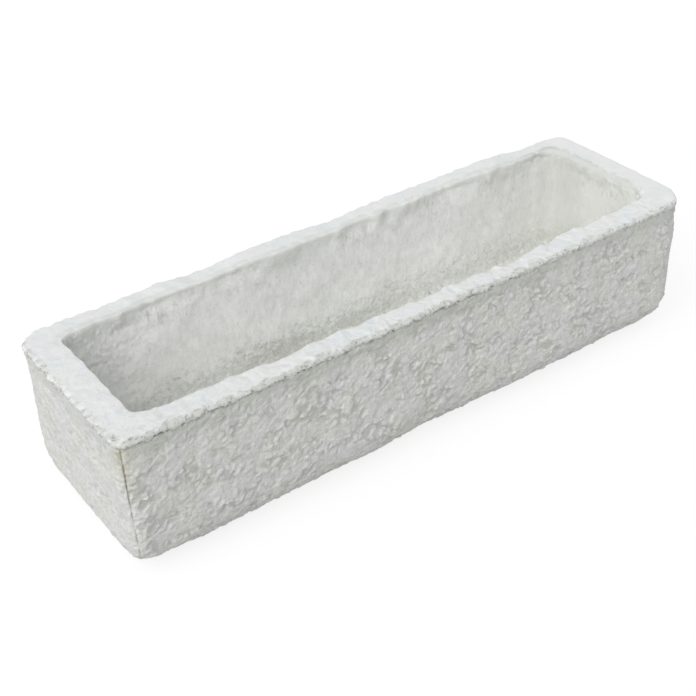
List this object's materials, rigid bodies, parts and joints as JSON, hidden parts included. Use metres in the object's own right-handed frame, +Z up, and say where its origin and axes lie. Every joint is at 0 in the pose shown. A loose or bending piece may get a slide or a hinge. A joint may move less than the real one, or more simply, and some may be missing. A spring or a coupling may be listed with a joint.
{
  "type": "flower trough planter",
  "caption": "Long rectangular cast stone flower trough with rounded lower edges, a pale mortar band along the rim, drain holes and an embedded steel cage.",
  "frame": {"origin": "on the ground under the middle of the trough", "axes": "+X along the length, the front face looks along -Y, +Z up out of the open top"},
  "size_m": [0.803, 0.248, 0.19],
  "materials": {
    "cast_stone": "rough cast, matt, grey, weathered",
    "rim_mortar": "rough mortar, matt, near white",
    "bar_steel": "plain drawn mild steel with mill scale"
  },
  "bodies": {
    "root": {"trough_body": "cast_stone", "rim_capping": "rim_mortar", "top_hoop_bar": "bar_steel", "long_bar_front": "bar_steel", "long_bar_back": "bar_steel", "stirrup_1": "bar_steel", "stirrup_2": "bar_steel", "stirrup_3": "bar_steel", "stirrup_4": "bar_steel", "stirrup_5": "bar_steel", "stirrup_6": "bar_steel"}
  },
  "joints": []
}
